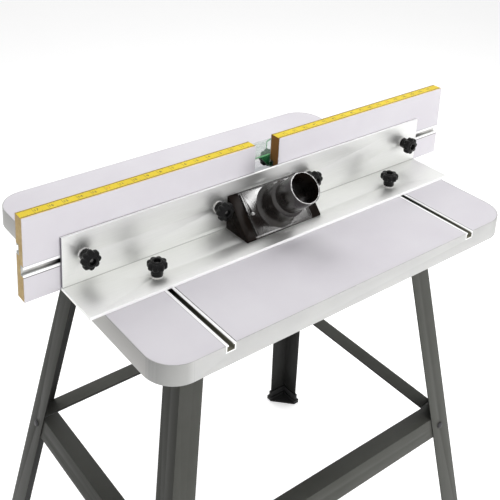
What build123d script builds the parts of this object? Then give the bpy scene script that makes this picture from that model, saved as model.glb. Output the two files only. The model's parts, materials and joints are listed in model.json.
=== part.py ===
"""Router table: a laminated top on a splayed steel stand, with a split, sliding fence.

Millimetres. Origin on the floor under the middle of the table top. +Z is up, the operator
stands at -Y and feeds work along X, so "left" and "right" are the operator's.
"""

from build123d import *

import os
from math import pi

os.makedirs("parts", exist_ok=True)

# ---- driving dimensions -------------------------------------------------------------------
TABLE_WIDTH = 794.0
TABLE_DEPTH = 588.0
TABLE_THICKNESS = 36.5
TABLE_TOP = 855.0
CORNER_RADIUS = 54.0
EDGE_BAND = 1.5
LAMINATE = 0.8

LEG_TOP_X = 283.0  # outer corner of a leg under the table
LEG_TOP_Y = 181.0
LEG_FOOT_X = 411.0  # the same corner at the floor
LEG_FOOT_Y = 306.3
LEG_WIDTH = 47.0
SHEET = 2.0
LEG_HOLE_DEPTH = 12.0
FOOT_PAD = 5.0
FOOT_HEIGHT = 32.0
FOOT_WALL = 3.0
FOOT_FLARE = 3.5  # beyond the wall, over FOOT_FLARE_HEIGHT
FOOT_FLARE_HEIGHT = 13.0

FLANGE_HEIGHT = 43.0  # rails and stretchers
FLANGE_DEPTH = 34.0
MEMBER_GAP = 1.0  # from a member's end to the leg across it
STRETCHER_TOP = 377.0
RAIL_SCREW_X = 190.0  # table screws, along the long rails
RAIL_SCREW_Y = 70.0
TABLE_SCREW_RADIUS = 2.2
TABLE_SCREW_LENGTH = 22.0

BOARD_LENGTH = 457.2
BOARD_HEIGHT = 149.0
BOARD_THICKNESS = 24.0
BOARD_GAP = 56.6
TAPE_WIDTH = 19.0
TAPE_THICKNESS = 0.35

FENCE_Y = 35.5  # rear face of the fence boards
SLIDE_GAP = 0.2  # between faces that slide on each other
BRACKET_X = 6.0  # how far the bracket's middle stands off the table's
BRACKET_LENGTH = 833.0
BRACKET_HEIGHT = 97.0
BRACKET_DEPTH = 95.0
BRACKET_THICKNESS = 5.5
BOARD_KNOB_X = (107.0, 376.0)
FENCE_KNOB_X = 277.0
FENCE_KNOB_Y = 58.0  # behind the boards' rear face

TRACK_WIDTH = 19.0
TRACK_LIP = 2.2
TRACK_FLOOR = 2.0
TRACK_CAVITY = 14.4
TRACK_SLOT = 9.0
TABLE_TRACK_DEPTH = 13.0
TABLE_TRACK_LENGTH = 294.0
BOARD_TRACK_DEPTH = 10.0
REAR_TRACK_Z = 55.0  # above the table
FRONT_TRACK_Z = 88.0
MITRE_Y = -152.0
MITRE_WIDTH = 24.0
MITRE_SLOT = 19.2
MITRE_DEPTH = 10.0

PLATE_LENGTH = 298.0
PLATE_WIDTH = 235.0
PLATE_THICKNESS = 6.5
PLATE_CORNER = 12.0
PLATE_GAP = 0.3
PLATE_LEDGE = 15.0
RING_OUTER = 49.0  # radii of the insert rings
RING_MIDDLE = 33.0
RING_INNER = 16.0
RING_LEDGE = 4.0
RING_THICKNESS = 3.2
RING_GAP = 0.2
LIFT_HOLES = ((44.0, 3.0), (24.0, 2.5))  # radius of the pitch circle and of the holes, large ring then small
ROUTER_BOLT_CIRCLE = 130.0
ROUTER_HOLE_RADIUS = 2.75
PLATE_SCREW_INSET = 7.0

SCREW_HEAD_RADIUS = 3.3  # small countersunk screws
SCREW_HEAD = 1.2
SCREW_RADIUS = 1.5
SCREW_LENGTH = 13.0
SCREW_GAP = 0.1
CROSS_LENGTH = 4.2  # the driver's cross in a screw head
CROSS_WIDTH = 0.8
CROSS_DEPTH = 0.7

BOLT_RADIUS = 3.0
HOLE_RADIUS = 3.3
THREAD_GAP = 0.05  # between a bolt and what turns on it
BOLT_HEAD = 3.6
BOLT_HEAD_LENGTH = 11.0
HEAD_GAP = 0.3  # between a T-bolt's head and the sides of its track
STAND_HEAD_RADIUS = 7.0
STAND_HEAD = 3.4
STAND_BOLT_LENGTH = 12.0
NUT_RADIUS = 5.6
NUT_HEIGHT = 5.0
WASHER_RADIUS = 11.0
WASHER_THICKNESS = 1.4
KNOB_RADIUS = 17.5
KNOB_HEIGHT = 26.0
KNOB_HUB_HEIGHT = 12.0
KNOB_HUB_RADIUS = 10.5
KNOB_LOBES = 8
KNOB_LOBE_SHARE = 0.72  # a lobe's radius over half the lobes' spacing
KNOB_BODY_RADIUS = 14.9
KNOB_EDGE = 1.6
KNOB_RING_RADIUS = 9.5
KNOB_RING_HEIGHT = 1.2
KNOB_RECESS_RADIUS = 6.0
BOLT_SHORT_OF_KNOB = 5.0

HOOD_LENGTH = 175.0
HOOD_DEPTH = 61.5
HOOD_HEIGHT = 64.5
HOOD_LIP = 3.0
WALL = 2.5
PIPE_RADIUS = 30.0
PIPE_BASE_RADIUS = 34.5
PIPE_FLARE_RADIUS = 41.5
PIPE_FLARE_HEIGHT = 20.0
PIPE_FLARE_MIDDLE = (36.4, 8.5)  # radius and height where the flare bends most
PIPE_STEP = 50.0  # along the pipe, from the sloped face
PIPE_LENGTH = 102.0
PIPE_FLANGE = (131.0, 80.0)
PIPE_SCREW_X = 55.0
PIPE_SCREW_HEAD_RADIUS = 3.8
PIPE_SCREW_HEAD = 2.2
HOOD_CUT = 12.0  # deep enough to pass the sloped wall
PIPE_NECK = 0.8  # how far the groove below the pipe's step is cut in
RIDGE_WIDTH = 1.6
RIDGE_HEIGHT = 1.0
RIDGE_INSETS = (1.2, 5.2)
MOUTH = (92.0, 52.0)  # chip opening through the fence bracket
MOUTH_Z = 28.0
HOOD_SCREW_INSET = 8.0
HOOD_SCREW_Z = (9.0, 50.0)
HOOD_BOSS = 7.0

GUARD_TOP = 110.0  # above the table
GUARD_SHEET = 3.0
GUARD_ENDS = (-116.0, 46.0)
GUARD_DEPTH = 62.0
GUARD_BEND = 12.0  # the sloped run between shelf and apron
GUARD_NOTCH = 44.0  # the apron starts this far in from the outer end
GUARD_APRON_BOTTOM = 48.0
GUARD_FLANGE_BOTTOM = 74.0
GUARD_BOLT_X = (-42.0, -98.0)

# ---- derived places -----------------------------------------------------------------------
TABLE_BOTTOM = TABLE_TOP - TABLE_THICKNESS
CORE_TOP = TABLE_TOP - LAMINATE
CORE_BOTTOM = TABLE_BOTTOM + LAMINATE
SPLAY_X = (LEG_FOOT_X - LEG_TOP_X) / TABLE_BOTTOM
SPLAY_Y = (LEG_FOOT_Y - LEG_TOP_Y) / TABLE_BOTTOM
FENCE_FRONT = FENCE_Y - BOARD_THICKNESS
BOARD_BOTTOM = TABLE_TOP + 2 * SLIDE_GAP
BOARD_TOP = BOARD_BOTTOM + BOARD_HEIGHT
BRACKET_Y = FENCE_Y + SLIDE_GAP + BRACKET_THICKNESS  # rear face of the upright leg
BRACKET_Z = TABLE_TOP + SLIDE_GAP + BRACKET_THICKNESS  # top face of the flat leg
SIDES = {"right": 1, "left": -1}
CORNERS = {"front_right": (1, -1), "front_left": (-1, -1), "rear_right": (1, 1), "rear_left": (-1, 1)}


def save(piece, label):
    """Labels a finished piece and writes its STEP file."""
    piece.part.label = label
    export_step(piece.part, f"parts/{label}.step")


def corner_x(z):
    """Outer corner of a leg along X at height z, as a distance from the middle."""
    return LEG_TOP_X + SPLAY_X * (TABLE_BOTTOM - z)


def corner_y(z):
    """Outer corner of a leg along Y at height z, as a distance from the middle."""
    return LEG_TOP_Y + SPLAY_Y * (TABLE_BOTTOM - z)


# Where the rails are screwed up into the table, in the middle of their flat flanges.
RAIL_X = corner_x(TABLE_BOTTOM) - SHEET - FLANGE_DEPTH / 2
RAIL_Y = corner_y(TABLE_BOTTOM) - SHEET - FLANGE_DEPTH / 2
TABLE_SCREWS = [(s * RAIL_SCREW_X, t * RAIL_Y) for s in (1, -1) for t in (1, -1)]
TABLE_SCREWS += [(s * RAIL_X, t * RAIL_SCREW_Y) for s in (1, -1) for t in (1, -1)]


# ---- T-track ------------------------------------------------------------------------------
def track_profile(depth):
    """Draws a T-track section whose open side is along +y of the current location."""
    cavity = depth - TRACK_LIP - TRACK_FLOOR
    with Locations((0, -depth / 2)):
        Rectangle(TRACK_WIDTH, depth)
    with Locations((0, -TRACK_LIP - cavity / 2)):
        Rectangle(TRACK_CAVITY, cavity, mode=Mode.SUBTRACT)
    with Locations((0, -TRACK_LIP / 2)):
        Rectangle(TRACK_SLOT, TRACK_LIP, mode=Mode.SUBTRACT)


def t_bolt(plane, length):
    """Adds a T-bolt: plane's origin is the middle of the head's upper face, +z along the shank."""
    with BuildSketch(plane) as shape:
        RectangleRounded(TRACK_CAVITY - 2 * HEAD_GAP, BOLT_HEAD_LENGTH, 1.5)
    extrude(shape.sketch, amount=-BOLT_HEAD)
    with BuildSketch(plane) as shape:
        Circle(BOLT_RADIUS)
    extrude(shape.sketch, amount=length)


def washer(plane):
    """Adds a flat washer lying on the plane."""
    with BuildSketch(plane) as shape:
        Circle(WASHER_RADIUS)
        Circle(HOLE_RADIUS, mode=Mode.SUBTRACT)
    extrude(shape.sketch, amount=WASHER_THICKNESS)


def knob(plane):
    """Adds a lobed clamp knob: hub on the plane, grip above it, open hole through both."""
    with BuildSketch(plane) as shape:
        Circle(KNOB_HUB_RADIUS)
    extrude(shape.sketch, amount=KNOB_HUB_HEIGHT)
    lobe = pi * KNOB_RADIUS / KNOB_LOBES * KNOB_LOBE_SHARE
    with BuildSketch(plane.offset(KNOB_HUB_HEIGHT)) as shape:
        Circle(KNOB_BODY_RADIUS)
        with PolarLocations(KNOB_RADIUS - lobe, KNOB_LOBES):
            Circle(lobe)
    extrude(shape.sketch, amount=KNOB_HEIGHT - KNOB_HUB_HEIGHT - KNOB_RING_HEIGHT)
    level_faces = faces().filter_by(Plane(plane.origin, z_dir=plane.z_dir))
    grip_top = level_faces.sort_by(Axis(plane.origin, plane.z_dir))[-1]
    chamfer(grip_top.edges(), KNOB_EDGE)
    with BuildSketch(plane.offset(KNOB_HEIGHT - KNOB_RING_HEIGHT)) as shape:
        Circle(KNOB_RING_RADIUS)
    extrude(shape.sketch, amount=KNOB_RING_HEIGHT)
    with BuildSketch(plane) as shape:
        Circle(BOLT_RADIUS + THREAD_GAP)
    extrude(shape.sketch, amount=KNOB_HEIGHT, mode=Mode.SUBTRACT)
    with BuildSketch(plane.offset(KNOB_HEIGHT)) as shape:
        Circle(KNOB_RECESS_RADIUS)
    extrude(shape.sketch, amount=-BOLT_SHORT_OF_KNOB - 1, mode=Mode.SUBTRACT)


def screw(plane):
    """Adds a small cross-headed screw: plane's origin is the middle of the head's face, +z up."""
    with BuildSketch(plane) as shape:
        Circle(SCREW_HEAD_RADIUS)
    extrude(shape.sketch, amount=-SCREW_HEAD)
    with BuildSketch(plane) as shape:
        Circle(SCREW_RADIUS)
    extrude(shape.sketch, amount=-SCREW_LENGTH)
    with BuildSketch(plane) as shape:
        Rectangle(CROSS_LENGTH, CROSS_WIDTH)
        Rectangle(CROSS_WIDTH, CROSS_LENGTH)
    extrude(shape.sketch, amount=-CROSS_DEPTH, mode=Mode.SUBTRACT)


# ---- table top ----------------------------------------------------------------------------
def table_outline(inset, mode=Mode.ADD):
    """Draws the table's rounded outline, set in from its outer edge."""
    RectangleRounded(TABLE_WIDTH - 2 * inset, TABLE_DEPTH - 2 * inset, CORNER_RADIUS - inset, mode=mode)


def cut_table_openings(bottom, top):
    """Cuts the plate recess, the router opening and the track grooves between two heights."""
    with BuildSketch(Plane.XY.offset(bottom)) as shape:
        RectangleRounded(PLATE_LENGTH - 2 * PLATE_LEDGE, PLATE_WIDTH - 2 * PLATE_LEDGE, PLATE_CORNER)
    extrude(shape.sketch, amount=top - bottom, mode=Mode.SUBTRACT)
    recess = TABLE_TOP - PLATE_THICKNESS
    if top > recess:
        with BuildSketch(Plane.XY.offset(max(bottom, recess))) as shape:
            length, width = PLATE_LENGTH + 2 * PLATE_GAP, PLATE_WIDTH + 2 * PLATE_GAP
            RectangleRounded(length, width, PLATE_CORNER + PLATE_GAP)
        extrude(shape.sketch, amount=top - max(bottom, recess), mode=Mode.SUBTRACT)
    groove = TABLE_TOP - TABLE_TRACK_DEPTH
    if top > groove:
        with BuildSketch(Plane.XY.offset(max(bottom, groove))) as shape:
            with Locations(*[(s * FENCE_KNOB_X, (TABLE_DEPTH - TABLE_TRACK_LENGTH) / 2) for s in (1, -1)]):
                Rectangle(TRACK_WIDTH, TABLE_TRACK_LENGTH)
        extrude(shape.sketch, amount=top - max(bottom, groove), mode=Mode.SUBTRACT)
    mitre = TABLE_TOP - MITRE_DEPTH
    if top > mitre:
        with BuildSketch(Plane.XY.offset(max(bottom, mitre))) as shape:
            with Locations((0, MITRE_Y)):
                Rectangle(TABLE_WIDTH, MITRE_WIDTH)
        extrude(shape.sketch, amount=top - max(bottom, mitre), mode=Mode.SUBTRACT)


PLATE_SCREW_GRID = (PLATE_LENGTH - 2 * PLATE_SCREW_INSET, PLATE_WIDTH - 2 * PLATE_SCREW_INSET, 2, 2)
TRACK_SCREW_Y = [TABLE_DEPTH / 2 - TABLE_TRACK_LENGTH * share for share in (0.06, 0.5, 0.94)]
MITRE_SCREW_X = [TABLE_WIDTH * share for share in (-0.45, -0.22, 0, 0.22, 0.45)]


def track_screw_planes():
    """The planes of the countersunk screws that hold the table's tracks down."""
    floor = TABLE_TOP - TABLE_TRACK_DEPTH + TRACK_FLOOR
    planes = [Plane.XY.move(Location((s * FENCE_KNOB_X, y, floor))) for s in (1, -1) for y in TRACK_SCREW_Y]
    floor = TABLE_TOP - MITRE_DEPTH + TRACK_FLOOR
    return planes + [Plane.XY.move(Location((x, MITRE_Y, floor))) for x in MITRE_SCREW_X]


def cut_track_screws():
    """Cuts the seats and pilot holes of the track screws."""
    for plane in track_screw_planes():
        with BuildSketch(plane) as shape:
            Circle(SCREW_HEAD_RADIUS + SCREW_GAP)
        extrude(shape.sketch, amount=-SCREW_HEAD - SCREW_GAP, mode=Mode.SUBTRACT)
        with BuildSketch(plane) as shape:
            Circle(SCREW_RADIUS + SCREW_GAP)
        extrude(shape.sketch, amount=-SCREW_LENGTH - 1, mode=Mode.SUBTRACT)


def cut_table_screws(bottom):
    """Cuts the pilot holes of the rail screws upwards from a height."""
    with BuildSketch(Plane.XY.offset(bottom)) as shape:
        with Locations(*TABLE_SCREWS):
            Circle(TABLE_SCREW_RADIUS + THREAD_GAP)
    extrude(shape.sketch, amount=TABLE_BOTTOM - SHEET + TABLE_SCREW_LENGTH + 1 - bottom, mode=Mode.SUBTRACT)


with BuildPart() as table_core:
    with BuildSketch(Plane.XY.offset(CORE_BOTTOM)):
        table_outline(EDGE_BAND)
    extrude(amount=CORE_TOP - CORE_BOTTOM)
    cut_table_openings(CORE_BOTTOM, CORE_TOP)
    cut_track_screws()
    with BuildSketch(Plane.XY.offset(TABLE_TOP - PLATE_THICKNESS)):
        with GridLocations(*PLATE_SCREW_GRID):
            Circle(SCREW_RADIUS + SCREW_GAP)
    extrude(amount=-SCREW_LENGTH, mode=Mode.SUBTRACT)
    cut_table_screws(CORE_BOTTOM)

with BuildPart() as top_laminate:
    with BuildSketch(Plane.XY.offset(CORE_TOP)):
        table_outline(EDGE_BAND)
    extrude(amount=LAMINATE)
    cut_table_openings(CORE_TOP, TABLE_TOP)

with BuildPart() as bottom_laminate:
    with BuildSketch(Plane.XY.offset(TABLE_BOTTOM)):
        table_outline(EDGE_BAND)
    extrude(amount=LAMINATE)
    cut_table_openings(TABLE_BOTTOM, CORE_BOTTOM)
    cut_table_screws(TABLE_BOTTOM)

with BuildPart() as edge_band:
    with BuildSketch(Plane.XY.offset(TABLE_BOTTOM)):
        table_outline(0)
        table_outline(EDGE_BAND, Mode.SUBTRACT)
    extrude(amount=TABLE_THICKNESS)
    cut_table_openings(TABLE_BOTTOM, TABLE_TOP)

save(table_core, "table_core")
save(top_laminate, "top_laminate")
save(bottom_laminate, "bottom_laminate")
save(edge_band, "edge_band")

for side, sign in SIDES.items():
    end = Plane(origin=(sign * FENCE_KNOB_X, TABLE_DEPTH / 2, TABLE_TOP), x_dir=(1, 0, 0), z_dir=(0, -1, 0))
    with BuildPart() as table_track:
        with BuildSketch(end):
            track_profile(TABLE_TRACK_DEPTH)
        extrude(amount=TABLE_TRACK_LENGTH)
        cut_track_screws()
    save(table_track, f"table_track_{side}")

with BuildPart() as mitre_track:
    with BuildSketch(Plane.YZ.offset(-TABLE_WIDTH / 2)):
        with Locations((MITRE_Y, TABLE_TOP - MITRE_DEPTH / 2)):
            Rectangle(MITRE_WIDTH, MITRE_DEPTH)
        with Locations((MITRE_Y, TABLE_TOP - (MITRE_DEPTH - TRACK_FLOOR) / 2)):
            Rectangle(MITRE_SLOT, MITRE_DEPTH - TRACK_FLOOR, mode=Mode.SUBTRACT)
    extrude(amount=TABLE_WIDTH)
    cut_track_screws()
save(mitre_track, "mitre_track")

with BuildPart() as track_screws:
    for plane in track_screw_planes():
        screw(plane)
save(track_screws, "track_screws")

# ---- router plate and insert rings --------------------------------------------------------
with BuildPart() as router_plate:
    with BuildSketch(Plane.XY.offset(TABLE_TOP)):
        RectangleRounded(PLATE_LENGTH, PLATE_WIDTH, PLATE_CORNER)
        Circle(RING_OUTER + RING_GAP, mode=Mode.SUBTRACT)
    extrude(amount=-RING_THICKNESS)
    with BuildSketch(Plane.XY.offset(TABLE_TOP - RING_THICKNESS)):
        RectangleRounded(PLATE_LENGTH, PLATE_WIDTH, PLATE_CORNER)
        Circle(RING_OUTER - RING_LEDGE, mode=Mode.SUBTRACT)
    extrude(amount=RING_THICKNESS - PLATE_THICKNESS)
    with Locations(Plane.XY.offset(TABLE_TOP)):
        with PolarLocations(ROUTER_BOLT_CIRCLE / 2, 4, start_angle=45):
            CounterSinkHole(ROUTER_HOLE_RADIUS, 5.0)
        with GridLocations(*PLATE_SCREW_GRID):
            seat = SCREW_HEAD + 3 * SCREW_GAP
            CounterBoreHole(SCREW_RADIUS + SCREW_GAP, SCREW_HEAD_RADIUS + SCREW_GAP, seat)
save(router_plate, "router_plate")

with BuildPart() as plate_screws:
    for spot in GridLocations(*PLATE_SCREW_GRID):
        screw(Plane.XY.offset(TABLE_TOP - 2 * SCREW_GAP).move(spot))
save(plate_screws, "plate_screws")

with BuildPart() as insert_ring_large:
    with BuildSketch(Plane.XY.offset(TABLE_TOP)):
        Circle(RING_OUTER)
        Circle(RING_MIDDLE + RING_GAP, mode=Mode.SUBTRACT)
    extrude(amount=-RING_THICKNESS / 2)
    with BuildSketch(Plane.XY.offset(TABLE_TOP - RING_THICKNESS / 2)):
        Circle(RING_OUTER)
        Circle(RING_MIDDLE - RING_LEDGE, mode=Mode.SUBTRACT)
    extrude(amount=-RING_THICKNESS / 2)
    with Locations(Plane.XY.offset(TABLE_TOP)):
        with PolarLocations(LIFT_HOLES[0][0], 2, start_angle=90):
            Hole(LIFT_HOLES[0][1], depth=RING_THICKNESS)
save(insert_ring_large, "insert_ring_large")

with BuildPart() as insert_ring_small:
    with BuildSketch(Plane.XY.offset(TABLE_TOP)):
        Circle(RING_MIDDLE)
        Circle(RING_INNER, mode=Mode.SUBTRACT)
    extrude(amount=-RING_THICKNESS / 2)
    with Locations(Plane.XY.offset(TABLE_TOP)):
        with PolarLocations(LIFT_HOLES[1][0], 2):
            Hole(LIFT_HOLES[1][1], depth=RING_THICKNESS / 2)
save(insert_ring_small, "insert_ring_small")


# ---- stand --------------------------------------------------------------------------------
def leg_section(sx, sy, z, grow, filled=False):
    """Draws a leg's angle section at height z, its sides moved out by grow, its inside open or filled."""
    x, y = corner_x(z), corner_y(z)
    reach, back = LEG_WIDTH + grow, SHEET + grow
    corners = [(x + grow, y + grow), (x - reach, y + grow), (x - reach, y - back)]
    if not filled:
        corners.append((x - back, y - back))
    corners += [(x - back, y - reach), (x + grow, y - reach)]
    Polygon(*[(sx * px, sy * py) for px, py in corners][:: sx * sy], align=None)


def splay(sx, sy):
    """The direction of a leg, scaled so that it climbs one millimetre."""
    return Vector(-sx * SPLAY_X, -sy * SPLAY_Y, 1)


def bolt_planes(member_top):
    """Planes on the legs' outer faces, +z outward, where the members at that height bolt on."""
    z = member_top - FLANGE_HEIGHT / 2
    inset = LEG_WIDTH / 2 + SHEET
    planes = []
    for sx, sy in CORNERS.values():
        on_y = (sx * (corner_x(z) - inset), sy * corner_y(z), z)
        planes.append(Plane(origin=on_y, x_dir=(1, 0, 0), z_dir=(0, sy, SPLAY_Y)))
        on_x = (sx * corner_x(z), sy * (corner_y(z) - inset), z)
        planes.append(Plane(origin=on_x, x_dir=(0, 1, 0), z_dir=(sx, 0, SPLAY_X)))
    return planes


def cut_bolt_holes(member_top):
    """Cuts the stand's bolt holes at one member height."""
    for plane in bolt_planes(member_top):
        with BuildSketch(plane.offset(1)) as shape:
            Circle(HOLE_RADIUS)
        extrude(shape.sketch, amount=-1 - LEG_HOLE_DEPTH, mode=Mode.SUBTRACT)


for name, (sx, sy) in CORNERS.items():
    with BuildPart() as leg:
        with BuildSketch(Plane.XY.offset(FOOT_PAD)):
            leg_section(sx, sy, FOOT_PAD, 0)
        extrude(amount=TABLE_BOTTOM - FOOT_PAD, dir=splay(sx, sy))
        cut_bolt_holes(STRETCHER_TOP)
        cut_bolt_holes(TABLE_BOTTOM)
    save(leg, f"leg_{name}")

with BuildPart() as rubber_feet:
    for sx, sy in CORNERS.values():
        with BuildSketch(Plane.XY):
            leg_section(sx, sy, 0, FOOT_WALL)
        extrude(amount=FOOT_HEIGHT, dir=splay(sx, sy))
        with BuildSketch(Plane.XY):
            leg_section(sx, sy, 0, FOOT_WALL + FOOT_FLARE)
        extrude(amount=FOOT_FLARE_HEIGHT, dir=splay(sx, sy))
        with BuildSketch(Plane.XY):
            leg_section(sx, sy, 0, FOOT_WALL + FOOT_FLARE, filled=True)
        extrude(amount=FOOT_PAD, dir=splay(sx, sy))
        with BuildSketch(Plane.XY.offset(FOOT_PAD)):
            leg_section(sx, sy, FOOT_PAD, 0)
        extrude(amount=FOOT_HEIGHT, dir=splay(sx, sy), mode=Mode.SUBTRACT)
save(rubber_feet, "rubber_feet")


def member_section(inner_face, slope, top, sign):
    """Draws an angle that lies on the legs' inner face, its flat flange on top, pointing in."""
    low = inner_face + slope * FLANGE_HEIGHT
    corners = [
        (inner_face, top), (low, top - FLANGE_HEIGHT), (low - SHEET, top - FLANGE_HEIGHT),
        (inner_face + slope * SHEET - SHEET, top - SHEET), (inner_face - FLANGE_DEPTH, top - SHEET),
        (inner_face - FLANGE_DEPTH, top),
    ]
    Polygon(*[(sign * u, z) for u, z in corners][::sign], align=None)


def cut_rail_screws(top):
    """Cuts the holes for the table's screws, which only the rails under the table have."""
    if top == TABLE_BOTTOM:
        with BuildSketch(Plane.XY.offset(top)) as shape:
            with Locations(*TABLE_SCREWS):
                Circle(TABLE_SCREW_RADIUS + 2 * SCREW_GAP)
        extrude(shape.sketch, amount=-SHEET, mode=Mode.SUBTRACT)


def save_members(top, kind):
    """Makes the four members at one height. The side ones are notched to clear the long ones."""
    face_x, face_y = corner_x(top) - SHEET, corner_y(top) - SHEET
    half_x, half_y = face_x - SHEET - MEMBER_GAP, face_y - SHEET - MEMBER_GAP
    for name, sign in {"front": -1, "rear": 1}.items():
        with BuildPart() as member:
            with BuildSketch(Plane.YZ.offset(-half_x)):
                member_section(face_y, SPLAY_Y, top, sign)
            extrude(amount=2 * half_x)
            cut_bolt_holes(top)
            cut_rail_screws(top)
        save(member, f"{kind}_{name}")
    for name, sign in SIDES.items():
        with BuildPart() as member:
            with BuildSketch(Plane.XZ.offset(-half_y)):
                member_section(face_x, SPLAY_X, top, sign)
            extrude(amount=2 * half_y)
            with BuildSketch(Plane.XY.offset(top)):
                with Locations(*[(sign * (face_x - SHEET - FLANGE_DEPTH / 2), s * half_y) for s in (1, -1)]):
                    Rectangle(FLANGE_DEPTH, 2 * (FLANGE_DEPTH + MEMBER_GAP))
            extrude(amount=-SHEET - 0.5, mode=Mode.SUBTRACT)
            cut_bolt_holes(top)
            cut_rail_screws(top)
        save(member, f"{kind}_{name}")


save_members(STRETCHER_TOP, "stretcher")
save_members(TABLE_BOTTOM, "top_rail")


# Round-headed bolts through leg and member, each with a nut inside.
with BuildPart() as stand_bolts:
    for plane in bolt_planes(STRETCHER_TOP) + bolt_planes(TABLE_BOTTOM):
        with BuildSketch(plane):
            Circle(STAND_HEAD_RADIUS)
        extrude(amount=STAND_HEAD, taper=28)
        with BuildSketch(plane):
            Circle(BOLT_RADIUS)
        extrude(amount=-STAND_BOLT_LENGTH)
save(stand_bolts, "stand_bolts")

with BuildPart() as stand_nuts:
    for plane in bolt_planes(STRETCHER_TOP) + bolt_planes(TABLE_BOTTOM):
        with BuildSketch(plane.offset(-2 * SHEET)):
            RegularPolygon(NUT_RADIUS, 6)
            Circle(BOLT_RADIUS + THREAD_GAP, mode=Mode.SUBTRACT)
        extrude(amount=-NUT_HEIGHT)
save(stand_nuts, "stand_nuts")

with BuildPart() as table_screws:
    with BuildSketch(Plane.XY.offset(TABLE_BOTTOM - SHEET)):
        with Locations(*TABLE_SCREWS):
            Circle(2 * TABLE_SCREW_RADIUS)
    extrude(amount=-3, taper=20)
    with BuildSketch(Plane.XY.offset(TABLE_BOTTOM - SHEET)):
        with Locations(*TABLE_SCREWS):
            Circle(TABLE_SCREW_RADIUS)
    extrude(amount=TABLE_SCREW_LENGTH)
save(table_screws, "table_screws")

# ---- fence boards -------------------------------------------------------------------------
GROOVES = [(FENCE_Y, REAR_TRACK_Z, -90, "rear"), (FENCE_FRONT, FRONT_TRACK_Z, 90, "front")]


def cut_grooves(start):
    """Cuts both track grooves along a board that starts at X = start."""
    for face, height, turn, _ in GROOVES:
        with BuildSketch(Plane.YZ.offset(start)) as shape:
            with Locations(Location((face, TABLE_TOP + height, 0), (0, 0, turn))):
                with Locations((0, -BOARD_TRACK_DEPTH / 2)):
                    Rectangle(TRACK_WIDTH, BOARD_TRACK_DEPTH)
        extrude(shape.sketch, amount=BOARD_LENGTH, mode=Mode.SUBTRACT)


for side, sign in SIDES.items():
    start = BOARD_GAP / 2 if sign > 0 else -BOARD_GAP / 2 - BOARD_LENGTH
    middle = start + BOARD_LENGTH / 2

    with BuildPart() as board_core:
        with BuildSketch(Plane.XY.offset(BOARD_BOTTOM)):
            with Locations((middle, FENCE_Y - BOARD_THICKNESS / 2)):
                Rectangle(BOARD_LENGTH, BOARD_THICKNESS - 2 * LAMINATE)
        extrude(amount=BOARD_HEIGHT)
        cut_grooves(start)
    save(board_core, f"board_core_{side}")

    with BuildPart() as board_laminates:
        with BuildSketch(Plane.XY.offset(BOARD_BOTTOM)):
            with Locations((middle, FENCE_Y - LAMINATE / 2), (middle, FENCE_FRONT + LAMINATE / 2)):
                Rectangle(BOARD_LENGTH, LAMINATE)
        extrude(amount=BOARD_HEIGHT)
        cut_grooves(start)
    save(board_laminates, f"board_laminates_{side}")

    for face, height, turn, name in GROOVES:
        with BuildPart() as board_track:
            with BuildSketch(Plane.YZ.offset(start)):
                with Locations(Location((face, TABLE_TOP + height, 0), (0, 0, turn))):
                    track_profile(BOARD_TRACK_DEPTH)
            extrude(amount=BOARD_LENGTH)
        save(board_track, f"board_track_{name}_{side}")

    with BuildPart() as tape:
        with BuildSketch(Plane.XY.offset(BOARD_TOP)):
            with Locations((middle, FENCE_Y - BOARD_THICKNESS / 2)):
                Rectangle(BOARD_LENGTH, TAPE_WIDTH)
        extrude(amount=TAPE_THICKNESS)
    save(tape, f"measuring_tape_{side}")

# ---- fence bracket ------------------------------------------------------------------------
BOARD_BOLT_X = [BRACKET_X + s * x for x in BOARD_KNOB_X for s in (1, -1)]
BOLT_Z = TABLE_TOP + REAR_TRACK_Z
FENCE_BOLT_Y = FENCE_Y + FENCE_KNOB_Y
HOOD_SCREW_X = HOOD_LENGTH / 2 - HOOD_SCREW_INSET
HOOD_SCREWS = [(BRACKET_X + s * HOOD_SCREW_X, BRACKET_Z + z) for z in HOOD_SCREW_Z for s in (1, -1)]
HOOD_SCREW_FACE = FENCE_Y + SLIDE_GAP  # front face of the bracket's upright, where their heads are sunk

with BuildPart() as fence_bracket:
    with BuildSketch(Plane.YZ.offset(BRACKET_X - BRACKET_LENGTH / 2)) as angle:
        bottom, front = BRACKET_Z - BRACKET_THICKNESS, BRACKET_Y - BRACKET_THICKNESS
        Polygon(
            (front, bottom), (front + BRACKET_DEPTH, bottom), (front + BRACKET_DEPTH, BRACKET_Z),
            (BRACKET_Y, BRACKET_Z), (BRACKET_Y, bottom + BRACKET_HEIGHT), (front, bottom + BRACKET_HEIGHT),
            align=None,
        )
        fillet(angle.vertices().sort_by_distance((BRACKET_X, BRACKET_Y, BRACKET_Z))[0], 1.5)
    extrude(amount=BRACKET_LENGTH)
    with BuildSketch(Plane.XZ.offset(-BRACKET_Y)):
        with Locations(*[(x, BOLT_Z) for x in BOARD_BOLT_X]):
            Circle(HOLE_RADIUS)
        with Locations((BRACKET_X, BRACKET_Z + MOUTH_Z)):
            RectangleRounded(*MOUTH, 4)
        with Locations(*HOOD_SCREWS):
            Circle(SCREW_RADIUS + SCREW_GAP)
    extrude(amount=BRACKET_THICKNESS, mode=Mode.SUBTRACT)
    with BuildSketch(Plane.XZ.offset(-HOOD_SCREW_FACE)):
        with Locations(*HOOD_SCREWS):
            Circle(SCREW_HEAD_RADIUS + SCREW_GAP)
    extrude(amount=-SCREW_HEAD - SCREW_GAP, mode=Mode.SUBTRACT)
    with BuildSketch(Plane.XY.offset(BRACKET_Z)):
        with Locations(*[(s * FENCE_KNOB_X, FENCE_BOLT_Y) for s in (1, -1)]):
            Circle(HOLE_RADIUS)
    extrude(amount=-BRACKET_THICKNESS, mode=Mode.SUBTRACT)
save(fence_bracket, "fence_bracket")


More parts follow.
